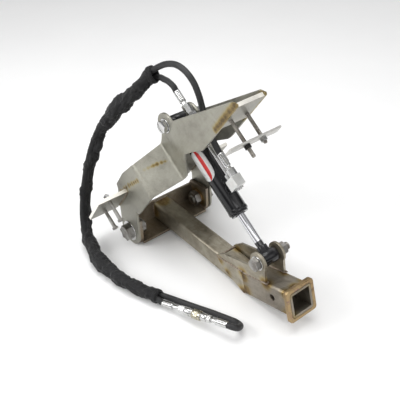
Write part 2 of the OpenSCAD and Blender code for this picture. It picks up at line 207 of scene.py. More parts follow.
def painted_edge_highlight(f, turn, base):
    """Painted highlight: the edge faces of a flat plate, picked out by which way they face, are painted near
    white, while its broad faces keep their mill scale.
    """
    facing = f.node("ShaderNodeTexCoord").outputs["Normal"]
    facing = f.node("ShaderNodeMapping", {0: facing, 2: (0, turn, 0)}).outputs[0]
    lean = f.calc("ABSOLUTE", f.axis(facing, 2))
    return f.mix(f.span(lean, 0.2, 0.5, 1.0, 0.0), base, (0.93, 0.90, 0.83))


def raw_steel(name, turn, pale, mid, dark, tint_places, tint_lines, brushed=0.35, lit_edges=False):
    """Unpainted plate or tube: mill-scale patches, fine brushing and heat tint near the welds.

    tint_places holds (place, reach) and tint_lines holds (start, end, reach), in turned coordinates.
    """
    f = Finish(name, Metallic=0.82, Specular_IOR_Level=0.5)
    here = f.coords(turn)
    broad = f.noise(here, 9.0, 5.0, 0.6, 0.6)
    patches = f.noise(here, 34.0, 6.0, 0.68, 0.9)
    cloud = f.calc("ADD", f.calc("MULTIPLY", broad, 0.55), f.calc("MULTIPLY", patches, 0.45))
    base = f.ramp(cloud, [(0.34, dark), (0.47, mid), (0.60, pale), (0.74, mid)])
    grain = f.noise(f.coords(turn, (14, 420, 420)), 1.0, 4.0, 0.6)
    base = f.mix(brushed, base, f.ramp(grain, [(0.3, (0.55, 0.54, 0.52)), (0.7, (1, 1, 1))]), "MULTIPLY")
    specks = f.span(f.noise(here, 260.0, 3.0, 0.7), 0.62, 0.72)
    base = f.mix(f.calc("MULTIPLY", specks, 0.35), base, (0.16, 0.13, 0.10))
    heat = [f.near(here, place, reach) for place, reach in tint_places]
    fade = 0.006
    for start, end, reach in tint_lines:
        ahead = f.axis(here, 0)
        ends = f.calc("MULTIPLY", f.span(ahead, start[0] - fade, start[0] + fade),
                      f.span(ahead, end[0] - fade, end[0] + fade, 1.0, 0.0))
        heat.append(f.calc("MULTIPLY", f.near(here, start, reach, (0, 1, 1)), ends))
    if heat:
        rag = f.span(f.noise(here, 48.0, 5.0, 0.7), 0.25, 0.62, 0.55, 1.12)
        ragged = f.calc("MULTIPLY", f.most(heat), rag)
        base = f.mix(1.0, base, f.ramp(ragged, HEAT_BANDS), "MULTIPLY")
    # painted highlight: the plate's edge faces are painted near white
    if lit_edges:
        base = painted_edge_highlight(f, turn, base)
    rough = f.span(f.calc("ADD", f.calc("MULTIPLY", patches, 0.6), f.calc("MULTIPLY", grain, 0.4)),
                   0.3, 0.7, 0.30, 0.58)
    f.bump(f.calc("ADD", grain, f.calc("MULTIPLY", patches, 0.8)), 0.22, 0.0006)
    return f.set(Base_Color=base, Roughness=rough)


def plated(name, colour, stain, rough):
    """Plated metal: nearly even, with a faint stain and handling marks."""
    f = Finish(name, Metallic=1.0)
    here = f.coords()
    bloom = f.noise(here, 60.0, 4.0, 0.6, 0.5)
    base = f.ramp(bloom, [(0.36, stain), (0.56, colour), (0.8, tuple(min(1, c * 1.08) for c in colour))])
    marks = f.noise(here, 90.0, 2.0, 0.5)
    return f.set(Base_Color=base, Roughness=f.span(marks, 0.3, 0.7, rough, rough + 0.05))


def gloss_black(name):
    """Sprayed gloss enamel with faint orange peel and dust."""
    f = Finish(name, Metallic=0.0, Specular_IOR_Level=0.22, Coat_Weight=0.45, Coat_Roughness=0.05)
    here = f.coords()
    dust = f.noise(here, 34.0, 5.0, 0.62)
    base = f.ramp(dust, [(0.4, (0.006, 0.006, 0.007)), (0.75, (0.018, 0.018, 0.02))])
    f.bump(f.noise(here, 420.0, 2.0, 0.5), 0.10, 0.0002)
    return f.set(Base_Color=base, Roughness=f.span(dust, 0.3, 0.7, 0.12, 0.26))


def hard_chrome(name):
    """Ground chrome up to the black paint that runs a little way up from the rod's eye."""
    f = Finish(name, Coat_Roughness=0.08)
    turned = f.coords(CYLINDER_TURN)
    around = f.noise(f.coords(CYLINDER_TURN, (900, 18, 18)), 1.0, 2.0, 0.5)
    from_end = f.axis(turned, 0)
    edge = seen_from(CYLINDER_TURN, CYLINDER, (PAINTED_FROM, 0, 0))[0]
    paint = f.span(f.calc("ADD", from_end, f.calc("MULTIPLY", around, 0.002)), edge, edge + 0.002)
    chrome = f.ramp(around, [(0.3, (0.60, 0.60, 0.63)), (0.7, (0.82, 0.82, 0.85))])
    f.bump(around, 0.03, 0.0001)
    return f.set(Base_Color=f.mix(paint, chrome, (0.010, 0.010, 0.011)),
                 Coat_Weight=f.calc("MULTIPLY", paint, 0.7), Metallic=f.calc("SUBTRACT", 1.0, paint),
                 Roughness=f.span(paint, 0.0, 1.0, 0.07, 0.2))


def hose_rubber(name):
    """Matte hose cover with the wrapped-cloth mark that curing leaves."""
    f = Finish(name, Specular_IOR_Level=0.42)
    here = f.coords(uv=True)
    wrap = f.node("ShaderNodeTexWave", {"Vector": here, "Scale": 105.0, "Distortion": 0.6,
                  "Detail": 1.0}, bands_direction="DIAGONAL").outputs[1]
    dust = f.noise(f.coords(), 46.0, 5.0, 0.65)
    base = f.ramp(dust, [(0.38, (0.016, 0.016, 0.017)), (0.7, (0.032, 0.032, 0.033))])
    f.bump(f.calc("ADD", f.calc("MULTIPLY", wrap, 0.5), f.noise(here, 900.0)), 0.25, 0.0004)
    return f.set(Base_Color=base, Roughness=f.span(dust, 0.3, 0.7, 0.42, 0.62))


def woven_nylon(name):
    """Black woven sleeve: crossed yarns, soft sheen and pale dust in the folds."""
    f = Finish(name, Specular_IOR_Level=0.38, Sheen_Weight=0.12, Sheen_Roughness=0.4)
    here = f.coords(uv=True)
    weave = f.most([f.node("ShaderNodeTexWave", {"Vector": here, "Scale": 260.0},
                           bands_direction=way).outputs[1] for way in "XY"])
    dust = f.noise(f.coords(), 30.0, 6.0, 0.7, 0.4)
    base = f.ramp(dust, [(0.38, (0.0060, 0.0060, 0.0065)), (0.62, (0.0105, 0.0105, 0.0115)),
                         (0.8, (0.020, 0.020, 0.022))])
    base = f.mix(0.35, base, f.ramp(weave, [(0.2, (0.45, 0.45, 0.45)), (0.9, (1, 1, 1))]), "MULTIPLY")
    creases = f.noise(f.coords(uv=True, stretch=(1, 0.6, 1)), 70.0, 3.0, 0.55, 0.8)
    f.bump(f.calc("ADD", f.calc("MULTIPLY", creases, 4.0), weave), 0.4, 0.0009)
    return f.set(Base_Color=base, Roughness=f.span(dust, 0.3, 0.7, 0.55, 0.78))


def weld_metal(name):
    """Weld bead with brown, straw and blue patches."""
    f = Finish(name, Metallic=0.85)
    here = f.coords()
    patches = f.noise(here, 150.0, 4.0, 0.7)
    base = f.ramp(patches, [(0.32, (0.12, 0.10, 0.09)), (0.48, (0.30, 0.24, 0.19)),
                            (0.62, (0.44, 0.38, 0.31)), (0.78, (0.24, 0.25, 0.30))])
    f.bump(f.noise(here, 700.0, 3.0, 0.6), 0.3, 0.0004)
    return f.set(Base_Color=base, Roughness=f.span(patches, 0.3, 0.7, 0.3, 0.6))


def tinted_collar(name):
    """Collar heated by its weld: straw and bronze with rose and blue bands."""
    f = Finish(name, Metallic=0.9)
    here = f.coords(-RECEIVER_TURN)
    drift = f.noise(here, 24.0, 4.0, 0.6, 1.4)
    base = f.ramp(drift, [(0.30, (0.19, 0.13, 0.075)), (0.42, (0.34, 0.235, 0.12)),
                          (0.54, (0.39, 0.285, 0.15)), (0.66, (0.27, 0.17, 0.12)),
                          (0.80, (0.16, 0.13, 0.14))])
    grain = f.noise(f.coords(-RECEIVER_TURN, (300, 30, 300)), 1.0, 3.0, 0.6)
    f.bump(grain, 0.2, 0.0004)
    return f.set(Base_Color=base, Roughness=f.span(grain, 0.3, 0.7, 0.26, 0.5))


# turns that bring part coordinates level with each frame, for the grain of its materials
ARM_TURN = -ARM_DROOP
RECEIVER_TURN = RECEIVER_RISE - ARM_DROOP
CYLINDER_TURN = -ARM_DROOP - CYLINDER_SLOPE
CHASSIS_TURN = MOUNT_ANGLE - ARM_DROOP
# where the rod's black paint starts, along the cylinder
PAINTED_FROM = 0.342


def seen_from(turn, matrix, place):
    """A point of a sloping frame, in the turned coordinates that a material reads."""
    return tuple(turn_y(turn) @ (matrix @ Vector(place)))


def streak(start, end, reach, steps):
    """A ragged row of heat marks between two points of the bracket, as (place, reach)."""
    marks = []
    for i in range(steps):
        place = Vector(start).lerp(Vector(end), i / (steps - 1))
        uneven = 0.8 + 0.2 * math.cos(2.7 * i)
        marks.append((seen_from(CHASSIS_TURN, CHASSIS, place), reach * uneven))
    return marks


def plate_stains(side):
    """Golden dashes opposite the rear cross plate's ends, and a dark mark at the wing."""
    low = side * 0.123
    return (streak((0.2155, side * 0.102, 0.0746), (0.2328, side * 0.0732, 0.0712), 0.0085, 8)
            + streak((0.2386, side * 0.0634, 0.0691), (0.2453, side * 0.0521, 0.0658), 0.0075, 4)
            + streak((0.080, low, 0.084), (0.120, low, 0.080), 0.0130, 4)
            + streak((0.138, low, 0.077), (0.196, low, 0.064), 0.0110, 6))


def plate_bands(side):
    """Gold along the front cross plate's weld, and a faint line where the wing is welded on."""
    cross = (0.470, side * 0.041, 0.019), (0.584, side * 0.041, 0.019)
    wing = (0.020, side * 0.123, 0.075), (0.116, side * 0.123, 0.075)
    return [tuple(seen_from(CHASSIS_TURN, CHASSIS, place) for place in ends) + (reach,)
            for ends, reach in ((cross, 0.0150), (wing, 0.0120))]


# heat-tinted places by the welds, as (place, reach)
ARM_SPOTS = [((-0.020, 0, 0.026), 0.034), ((-0.030, -0.026, 0.0), 0.036),
             ((-0.030, 0.026, 0.0), 0.036), ((0.262, -0.026, 0.022), 0.020),
             ((0.262, 0.026, 0.022), 0.020), ((0.290, -0.028, 0.0), 0.020),
             ((0.345, -0.030, 0.038), 0.026), ((0.345, 0.030, 0.038), 0.026),
             ((0.350, -0.030, -0.020), 0.030), ((0.350, 0.030, -0.020), 0.030),
             ((0.420, -0.030, 0.060), 0.026)]
RECEIVER_SPOTS = [((-0.016, -0.03, -0.03), 0.030), ((-0.016, -0.03, 0.03), 0.026),
                  ((-0.016, 0.03, 0.03), 0.026), ((-0.016, 0, 0.03), 0.024),
                  ((-0.160, -0.032, -0.02), 0.032), ((-0.160, -0.032, 0.02), 0.026),
                  ((-0.078, -0.030, 0.032), 0.026), ((-0.078, 0.030, 0.032), 0.026)]

PLATE_TONES = ((0.43, 0.42, 0.365), (0.36, 0.35, 0.30), (0.255, 0.245, 0.21))
MATERIALS = {
    "side_left": raw_steel("raw_plate_left", CHASSIS_TURN, *PLATE_TONES, plate_stains(1),
                           plate_bands(1)),
    "side_right": raw_steel("raw_plate_right", CHASSIS_TURN, *PLATE_TONES, plate_stains(-1),
                            plate_bands(-1)),
    # the cross plates and wings carry the painted edge highlight
    "cross": raw_steel("raw_cross_plate", CHASSIS_TURN, (0.46, 0.445, 0.395), (0.37, 0.36, 0.315),
                       (0.26, 0.25, 0.215), [], [], lit_edges=True),
    "arm": raw_steel("brown_tube", ARM_TURN, (0.54, 0.50, 0.41), (0.37, 0.335, 0.265),
                     (0.21, 0.18, 0.135),
                     [(seen_from(ARM_TURN, ARM, place), reach) for place, reach in ARM_SPOTS], [], 0.5),
    "receiver": raw_steel("brown_receiver", RECEIVER_TURN, (0.37, 0.335, 0.28),
                          (0.25, 0.22, 0.18), (0.15, 0.125, 0.10),
                          [(seen_from(RECEIVER_TURN, RECEIVER, place), reach)
                           for place, reach in RECEIVER_SPOTS], [], 0.5),
    "channel": raw_steel("brown_channel", ARM_TURN, (0.40, 0.345, 0.27), (0.27, 0.225, 0.165),
                         (0.14, 0.11, 0.08), [], [], 0.4),
    "ear": raw_steel("brown_ear", ARM_TURN, (0.44, 0.39, 0.33), (0.30, 0.25, 0.20), (0.17, 0.13, 0.10),
                     [(seen_from(ARM_TURN, ARM, (0, y, 0)), 0.05) for y in (-0.11, 0.11)], [], 0.4),
    "machined": raw_steel("machined_steel", CYLINDER_TURN, (0.62, 0.62, 0.62),
                          (0.50, 0.50, 0.50), (0.38, 0.38, 0.38), [], [], 0.3),
    "collar": tinted_collar("tinted_collar"),
    "zinc": plated("zinc_plate", (0.62, 0.62, 0.62), (0.54, 0.54, 0.52), 0.17),
    "zinc_dull": plated("zinc_dull", (0.42, 0.41, 0.39), (0.27, 0.25, 0.23), 0.30),
    "zinc_bright": plated("zinc_bright", (0.94, 0.94, 0.92), (0.86, 0.86, 0.83), 0.30),
    "plain_bolt": plated("plain_bolt", (0.33, 0.31, 0.28), (0.22, 0.20, 0.18), 0.26),
    "bar": raw_steel("bar_steel", CHASSIS_TURN, (0.66, 0.65, 0.62), (0.58, 0.57, 0.54),
                     (0.48, 0.47, 0.44), [], [], 0.2),
    "oxide": plated("black_oxide", (0.06, 0.058, 0.055), (0.03, 0.028, 0.026), 0.34),
    "brass": plated("yellow_plate", (0.50, 0.47, 0.38), (0.38, 0.35, 0.26), 0.22),
    "bronze": plated("bush_bronze", (0.66, 0.48, 0.26), (0.42, 0.28, 0.14), 0.3),
    "black": gloss_black("gloss_black"),
    "chrome": hard_chrome("hard_chrome"),
    "hose": hose_rubber("hose_rubber"),
    "sleeve": woven_nylon("woven_nylon"),
    "weld": weld_metal("weld_metal"),
}

CAD_FINISH = {
    "side_left": ["side_plate_left"],
    "side_right": ["side_plate_right"],
    "cross": ["front_cross_plate", "rear_cross_plate", "wing_left", "wing_right"],
    "channel": ["cross_channel"],
    "ear": ["channel_ears"],
    "arm": ["arm_tube", "fish_plates", "clevis_plate_left", "clevis_plate_right"],
    "receiver": ["receiver_tube"],
    "collar": ["receiver_collar"],
    "bronze": ["pivot_bushes"],
    "zinc": ["base_pin_washers", "base_spacers", "pivot_washers", "thrust_washers", "clevis_washers",
             "base_tee", "valve_cartridge", "pilot_tube", "pilot_tube_nuts",
             "swivel_nuts", "coupler_plug", "coupler_socket", "piston_nut"],
    "black": ["barrel_tube", "base_cap", "base_cross_tube", "port_bosses", "rod_eye", "gland"],
    "machined": ["piston"],
    "bar": ["clamp_bar"],
    "zinc_bright": ["valve_block"],
    "chrome": ["piston_rod"],
    "hose": ["wiper_seal", "rod_seal", "piston_seal"],
}
SMALL_EDGE = 0.0005
EDGE_ROUNDING = {"side_left": 0.0011, "side_right": 0.0011, "cross": 0.0012, "channel": 0.0015,
                 "ear": 0.0012, "arm": 0.0012, "receiver": 0.0012, "collar": 0.0022}
SHARP_ANGLE = 38


def finish_cad_nodes():
    for key, nodes in CAD_FINISH.items():
        for name in nodes:
            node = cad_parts[name]
            node.data.materials.clear()
            node.data.materials.append(MATERIALS[key])
            merge = node.modifiers.new("merge", "WELD")
            merge.merge_threshold = 0.00001
            edge = node.modifiers.new("edge", "BEVEL")
            edge.width = EDGE_ROUNDING.get(key, SMALL_EDGE)
            edge.segments = 2
            edge.limit_method = "ANGLE"
            edge.angle_limit = math.radians(SHARP_ANGLE)
            edge.harden_normals = True


finish_cad_nodes()

# ---------------------------------------------------------------- mesh building


def piece(name, verts, faces, material, body, uvs):
    """One finished object in the part's frame. uvs holds one (u, v) a vertex."""
    mesh = bpy.data.meshes.new(name)
    mesh.from_pydata([tuple(v) for v in verts], [], faces)
    mesh.validate()
    mesh.materials.append(MATERIALS[material])
    for polygon in mesh.polygons:
        polygon.use_smooth = True
    layer = mesh.uv_layers.new(name="UVMap")
    for loop in mesh.loops:
        layer.data[loop.index].uv = uvs[loop.vertex_index]
    obj = bpy.data.objects.new(name, mesh)
    bpy.context.collection.objects.link(obj)
    if body:
        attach(obj, body)
    return obj


HEX_SIDES = 48
THREAD_SIDES = 24
THREAD_PITCH = 0.0019
THREAD_DEPTH = 0.0009
THREAD_CHAMFER = 0.0012


def ring_round(place, sides, at):
    """Points round the local X axis of a place. at(angle) gives a point's x and radius."""
    points = []
    for k in range(sides):
        angle = 2 * math.pi * k / sides
        x, r = at(angle)
        points.append(place @ Vector((x, r * math.cos(angle), r * math.sin(angle))))
    return points


class Shape:
    """Rings of points joined into tubes, gathered into one mesh."""

    def __init__(self):
        self.verts, self.faces, self.uvs = [], [], []

    def rings(self, rings, close=(True, True), around=0.0, along=None):
        start, sides = len(self.verts), len(rings[0])
        for i, ring in enumerate(rings):
            for k, point in enumerate(ring):
                self.verts.append(point)
                self.uvs.append((around * k / sides, along[i] if along else 0.0))
        for i in range(len(rings) - 1):
            for k in range(sides):
                a, b = start + i * sides + k, start + i * sides + (k + 1) % sides
                self.faces.append((a, b, b + sides, a + sides))
        if close[0]:
            self.faces.append(tuple(start + k for k in reversed(range(sides))))
        if close[1]:
            last = start + (len(rings) - 1) * sides
            self.faces.append(tuple(last + k for k in range(sides)))
        return self

    def lathe(self, place, profile, sides=40, close=(True, True)):
        """profile is (x, radius) along the local X axis; a radius may be a function of the angle."""
        rings = [ring_round(place, sides, lambda angle: (x, radius(angle) if callable(radius) else radius))
                 for x, radius in profile]
        return self.rings(rings, close)

    def hexagon(self, place, flats, x0, x1, bore=0.0):
        """A hex nut or head with both faces chamfered. bore 0 closes it."""
        face = flats / 2 * 0.95
        inner = max(bore, flats / 2 * 0.3)

        def edge(x, way):
            def at(angle):
                r = flats / 2 / math.cos((angle % (math.pi / 3)) - math.pi / 6)
                return x + way * (r - face) * 0.55, r
            return at

        rings = [ring_round(place, HEX_SIDES, at) for at in (
            lambda angle: (x0, inner), lambda angle: (x0, face), edge(x0, 1),
            edge(x1, -1), lambda angle: (x1, face), lambda angle: (x1, inner))]
        if bore:
            rings.append(rings[0])
            return self.rings(rings, (False, False))
        return self.rings(rings)

    def thread(self, place, radius, x0, x1):
        """A threaded shank with a chamfered tip at x1."""
        steps = max(8, int(abs(x1 - x0) / THREAD_PITCH * 4))

        def thread_ring(i):
            x = x0 + (x1 - x0) * i / steps
            chamfer = (1 - min(1.0, (steps - i) / 5)) * THREAD_CHAMFER

            def at(angle):
                phase = (x / THREAD_PITCH + angle / (2 * math.pi)) % 1.0
                return x, radius - THREAD_DEPTH * abs(2 * phase - 1) - chamfer

            return ring_round(place, THREAD_SIDES, at)

        return self.rings([thread_ring(i) for i in range(steps + 1)])

    def make(self, name, material, body, slot, replaces=(), angle=SHARP_ANGLE):
        """The finished object; edges sharper than angle stay sharp, and angle 0 keeps none."""
        obj = piece(name, self.verts, self.faces, material, body, self.uvs)
        if angle:
            obj.data.set_sharp_from_angle(angle=math.radians(angle))
        if replaces:
            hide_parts(*replaces)
        return obj


def across(matrix, side=1):
    """Local X points along +Y (side 1) or -Y (side -1) of a frame."""
    return matrix @ Matrix.Rotation(math.radians(90 * side), 4, "Z")


def upright(matrix, place, down=False):
    """Local X points up, or down, along a frame's Z axis at a place."""
    return matrix @ Matrix.Translation(place) @ turn_y(math.radians(90 if down else -90))


# ---------------------------------------------------------------- smooth routes


def smooth_route(points, spacing):
    """Points evenly spaced along a curve through the given ones."""
    pts = [Vector(p) for p in points]
    ends = [pts[0] * 2 - pts[1]] + pts + [pts[-1] * 2 - pts[-2]]
    fine = []
    for p0, p1, p2, p3 in zip(ends, ends[1:], ends[2:], ends[3:]):
        k0, k1, k2 = ((a - b).length ** 0.5 for a, b in ((p1, p0), (p2, p1), (p3, p2)))
        m1 = (p2 - p1) + k1 * ((p1 - p0) / k0 - (p2 - p0) / (k0 + k1))
        m2 = (p2 - p1) + k1 * ((p3 - p2) / k2 - (p3 - p1) / (k1 + k2))
        for j in range(24):
            t = j / 24
            a, b = 2 * t ** 3 - 3 * t ** 2 + 1, t ** 3 - 2 * t ** 2 + t
            fine.append(a * p1 + b * m1 + (1 - a) * p2 + (t ** 3 - t ** 2) * m2)
    fine.append(pts[-1])
    lengths = [0.0]
    for a, b in zip(fine, fine[1:]):
        lengths.append(lengths[-1] + (b - a).length)
    count = max(2, round(lengths[-1] / spacing))
    even, j = [], 0
    for i in range(count + 1):
        want = lengths[-1] * i / count
        while j < len(fine) - 2 and lengths[j + 1] < want:
            j += 1
        part = (want - lengths[j]) / max(1e-9, lengths[j + 1] - lengths[j])
        even.append(fine[j].lerp(fine[j + 1], min(1.0, part)))
    return even, lengths[-1]


def heading(route, i):
    """The direction of a route at one of its points."""
    return (route[min(i + 1, len(route) - 1)] - route[max(i - 1, 0)]).normalized()


def frames_along(route, side):
    """Two axes across the route at each point, the first as near as can be to a fixed side."""
    frames = []
    for i in range(len(route)):
        t = heading(route, i)
        a = (Vector(side) - t * t.dot(Vector(side))).normalized()
        frames.append((a, t.cross(a)))
    return frames


def carried_frames(route, first):
    """Two axes across the route at each point, carried along it without twist."""
    frames = []
    a = Vector(first)
    for i in range(len(route)):
        t = heading(route, i)
        a = (a - t * a.dot(t)).normalized()
        frames.append((a.copy(), t.cross(a)))
    return frames


def swept(route, radius, sides, first, frames=carried_frames):
    """Rings round a route. radius is a function of (distance, angle)."""
    spacing = (route[1] - route[0]).length
    rings = []
    for i, (point, (a, b)) in enumerate(zip(route, frames(route, first))):
        ring = []
        for k in range(sides):
            angle = 2 * math.pi * k / sides
            ring.append(point + radius(i * spacing, angle) * (math.cos(angle) * a + math.sin(angle) * b))
        rings.append(ring)
    return rings, [i * spacing for i in range(len(route))]


# ---------------------------------------------------------------- hoses

HOSE_RADIUS = 0.00725
SLEEVE_RADIUS = 0.0178
LOOP_SIDE = Vector((0.17, -0.87, 0.47)).normalized()

# centre line of the sleeve, measured from the pivot axis at floor level
SLEEVE_PATH = [(0.030, -0.014, 0.463), (0.001, -0.040, 0.430), (-0.034, -0.062, 0.389),
               (-0.070, -0.085, 0.350), (-0.098, -0.108, 0.304), (-0.110, -0.130, 0.258),
               (-0.113, -0.150, 0.212), (-0.112, -0.170, 0.160), (-0.106, -0.188, 0.110),
               (-0.092, -0.204, 0.062), (-0.062, -0.218, 0.030), (-0.012, -0.232, 0.020),
               (0.040, -0.240, 0.020), (0.092, -0.240, 0.020), (0.142, -0.231, 0.020),
               (0.192, -0.218, 0.020), (0.240, -0.202, 0.020)]
HOSE_A_TOP = [(0.0828, -0.0005, 0.4418), (0.0735, -0.001, 0.4465), (0.0616, -0.002, 0.4504),
              (0.0503, -0.004, 0.4519)]
HOSE_A_END = [(0.2540, -0.2043, 0.01280)]
HOSE_B_TOP = [(0.224, 0, 0.350), (0.208, -0.001, 0.376), (0.197, -0.002, 0.403), (0.189, -0.003, 0.431),
              (0.180, -0.004, 0.459), (0.166, -0.005, 0.483), (0.143, -0.006, 0.500),
              (0.113, -0.007, 0.507), (0.080, -0.009, 0.501), (0.050, -0.012, 0.487)]
HOSE_B_END = [(0.275, -0.1685, 0.009), (0.3175, -0.1506, 0.009), (0.3561, -0.1339, 0.009),
              (0.3964, -0.1184, 0.009), (0.4135, -0.1133, 0.010), (0.4307, -0.1162, 0.016),
              (0.441, -0.125, 0.0245), (0.4455, -0.1365, 0.032), (0.4398, -0.1453, 0.037),
              (0.4281, -0.1494, 0.03605)]
FROM_PIVOT = Vector((PIVOT.x, 0, 0))
# each hose's centre line lies this far from the sleeve's
HOSE_OFFSET = 0.008
# the two hoses start to swap over at this point of the path, by so many degrees a point
TWIST_POINT = 10
TWIST_STEP = 34.7
# the same place as a distance along the sleeve, and the gap between points there
TWIST_START = 0.536
POINT_GAP = 0.052
# how far the hoses part at the sleeve's first points
MOUTH_GAP = [0.006, 0.0025]


def beside_sleeve(distance):
    """The sleeve's route moved sideways, for a hose.

    The hoses part at the sleeve's mouth, run side by side and swap over on the floor.
    """
    route = [Vector(p) for p in SLEEVE_PATH]
    moved = []
    for i, point in enumerate(route):
        t = heading(route, i)
        twist = math.radians(max(0, i - TWIST_POINT) * TWIST_STEP)
        apart = MOUTH_GAP[i] if i < len(MOUTH_GAP) else 0.0
        if distance < 0:
            apart *= -1.5
        moved.append(point + (distance * math.cos(twist)) * LOOP_SIDE
                     + (distance * math.sin(twist) + apart) * t.cross(LOOP_SIDE))
    return moved


def from_pivot(points):
    return [Vector(p) + FROM_PIVOT for p in points]


def make_hose(name, node, exit, points):
    route, length = smooth_route([exit] + from_pivot(points), 0.004)
    rings, along = swept(route, lambda s, angle: HOSE_RADIUS, 20, LOOP_SIDE)
    shape = Shape().rings(rings, around=2 * math.pi * HOSE_RADIUS, along=along)
    hose = shape.make(name, "hose", None, "hose_rubber", [node], angle=60)
    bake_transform(hose)


FERRULE_A_END = CYLINDER @ Vector((-0.0463, 0, 0.056))
FERRULE_B_END = CYLINDER @ Vector((0.1347, 0, 0.066))

# ---------------------------------------------------------------- sleeve


# half-thickness of the sleeve across the two hoses, at even steps from its upper to its lower end
SLEEVE_WIDTHS = [0.0195, 0.0165, 0.0170, 0.0205, 0.0200, 0.0170, 0.0155, 0.0165, 0.0135, 0.0108,
                 0.0102, 0.0112, 0.0135, 0.0155, 0.0165, 0.0180, 0.0185, 0.0175, 0.0165, 0.0155,
                 0.0150]
# the least half-width along the two hoses, and the room between a hose and the cloth
LEAST_WIDE = 0.0162
CLOTH_ROOM = 0.0011


def hoses_reach(s, angle):
    """How far the two hoses in the sleeve reach from its centre line, at an angle round it."""
    turned = angle - math.radians(TWIST_STEP) * max(0.0, (s - TWIST_START) / POINT_GAP)
    along, across = abs(math.cos(turned)), abs(math.sin(turned))
    if across * HOSE_OFFSET < HOSE_RADIUS * along:
        return HOSE_OFFSET * along + math.sqrt(max(0.0, HOSE_RADIUS ** 2 - (HOSE_OFFSET * across) ** 2))
    return HOSE_RADIUS / across


def sleeve_radius(s, angle):
    """A loose woven sleeve round two hoses: slack bulges, gathers and creases."""
    place = s / SLEEVE_LENGTH * (len(SLEEVE_WIDTHS) - 1)
    i = min(int(place), len(SLEEVE_WIDTHS) - 2)
    part = place - i
    part = part * part * (3 - 2 * part)
    thin = SLEEVE_WIDTHS[i] * (1 - part) + SLEEVE_WIDTHS[i + 1] * part
    wide = max(thin, LEAST_WIDE)
    x, y = math.cos(angle), math.sin(angle)
    oval = 1 / math.sqrt((x / wide) ** 2 + (y / thin) ** 2)
    loose = min(1.0, s / 0.03, max(0.0, (SLEEVE_LENGTH - s) / 0.03))
    bulge = 0.0070 * noise.noise(Vector((0.8 * x, 0.8 * y, s * 31)))
    gather = 0.0052 * (0.26 - abs(noise.noise(Vector((0.9 * x + 5, 0.9 * y, s * 62)))))
    fold = abs(noise.noise(Vector((1.5 * x, 1.5 * y + 3, s * 27 + 1.6 * x))))
    crease = -0.0026 * max(0.0, 0.2 - fold) / 0.2
    return max(oval + loose * (bulge + gather + crease), hoses_reach(s, angle) + CLOTH_ROOM)


# the cloth's mouth turns a little towards the long hose
SLEEVE_ROUTE, SLEEVE_LENGTH = smooth_route(
    from_pivot(SLEEVE_PATH[:1] + [(0.019, -0.022, 0.456)] + SLEEVE_PATH[1:]), 0.002)


def make_sleeve():
    outer, along = swept(SLEEVE_ROUTE, sleeve_radius, 72, LOOP_SIDE, frames_along)
    for ring in outer:
        for point in ring:
            point.z = max(point.z, 0.0012)
    shape = Shape().rings(outer, (False, False), 2 * math.pi * SLEEVE_RADIUS, along)
    sleeve = shape.make("hose_sleeve_cloth", "sleeve", "frame", "sleeve_fabric", ["hose_sleeve"], angle=0)
    thick = sleeve.modifiers.new("thickness", "SOLIDIFY")
    thick.thickness = 0.0010
    thick.offset = -1
    return sleeve


def make_ties():
    """A wound tie of five turns near each end of the sleeve."""
    for name, first, way in (("upper", 0, 1), ("lower", len(SLEEVE_ROUTE) - 1, -1)):
        shape = Shape()
        for turn in range(5):
            here = SLEEVE_ROUTE[first + way * (2 + turn)]
            ahead = SLEEVE_ROUTE[first + way * (3 + turn)]
            t = (ahead - here).normalized()
            a = (LOOP_SIDE - t * LOOP_SIDE.dot(t)).normalized()
            b = t.cross(a)
            loop = []
            for k in range(49):
                angle = 2 * math.pi * k / 48
                r = sleeve_radius(0.004 if first == 0 else SLEEVE_LENGTH - 0.004, angle) + 0.0010
                point = here + r * (math.cos(angle) * a + math.sin(angle) * b)
                point.z = max(point.z, 0.0022)
                loop.append(point)
            rings, along = swept(loop, lambda s, angle: 0.0014, 8, t)
            shape.rings(rings, (False, False), 0.009, along)
        shape.make(f"sleeve_tie_{name}", "sleeve", "frame", "sleeve_fabric", ["sleeve_ties"], angle=60)
    return ["sleeve_tie_upper", "sleeve_tie_lower"]


# ---------------------------------------------------------------- hose fittings


RIB_STEP = 0.0036


def crimped(shape, place, x0, x1, radius):
    """A crimped ferrule: a ribbed shell between two rolled ends."""
    way = 1 if x1 > x0 else -1
    length = abs(x1 - x0)
    profile = [(x0, radius * 0.74), (x0, radius * 0.94), (x0 + way * 0.0012, radius)]
    count = int((length - 0.006) / RIB_STEP)
    for i in range(count):
        x = x0 + way * (0.003 + i * RIB_STEP)
        profile += [(x + way * RIB_STEP * part, radius * height)
                    for part, height in ((0, 1), (0.3, 0.98), (0.6, 0.98), (0.9, 1))]
    profile += [(x1 - way * 0.0012, radius), (x1, radius * 0.94), (x1, radius * 0.6)]

    def eight_sided(r):
        return lambda angle: r * (1 - 0.03 * abs(math.sin(4 * angle)))

    return shape.lathe(place, [(x, eight_sided(r)) for x, r in profile], 64)


def make_end_fittings():
    near = crimped(Shape(), COUPLER, 0.0, 0.030, 0.0078)
    near.lathe(COUPLER, [(0.0295, 0.0045), (0.0305, 0.0052), (0.036, 0.005), (0.049, 0.005), (0.050, 0.0045)])
    near.make("ferrule_a_crimped", "zinc", "frame", "zinc_plate", ["end_ferrules"])
    far = crimped(Shape(), COUPLER, 0.182, 0.152, 0.0082)
    far.lathe(COUPLER, [(0.138, 0.0045), (0.139, 0.0052), (0.147, 0.005), (0.1525, 0.005)])
    far.make("ferrule_b_crimped", "zinc", "frame", "zinc_plate", ["end_ferrules"])


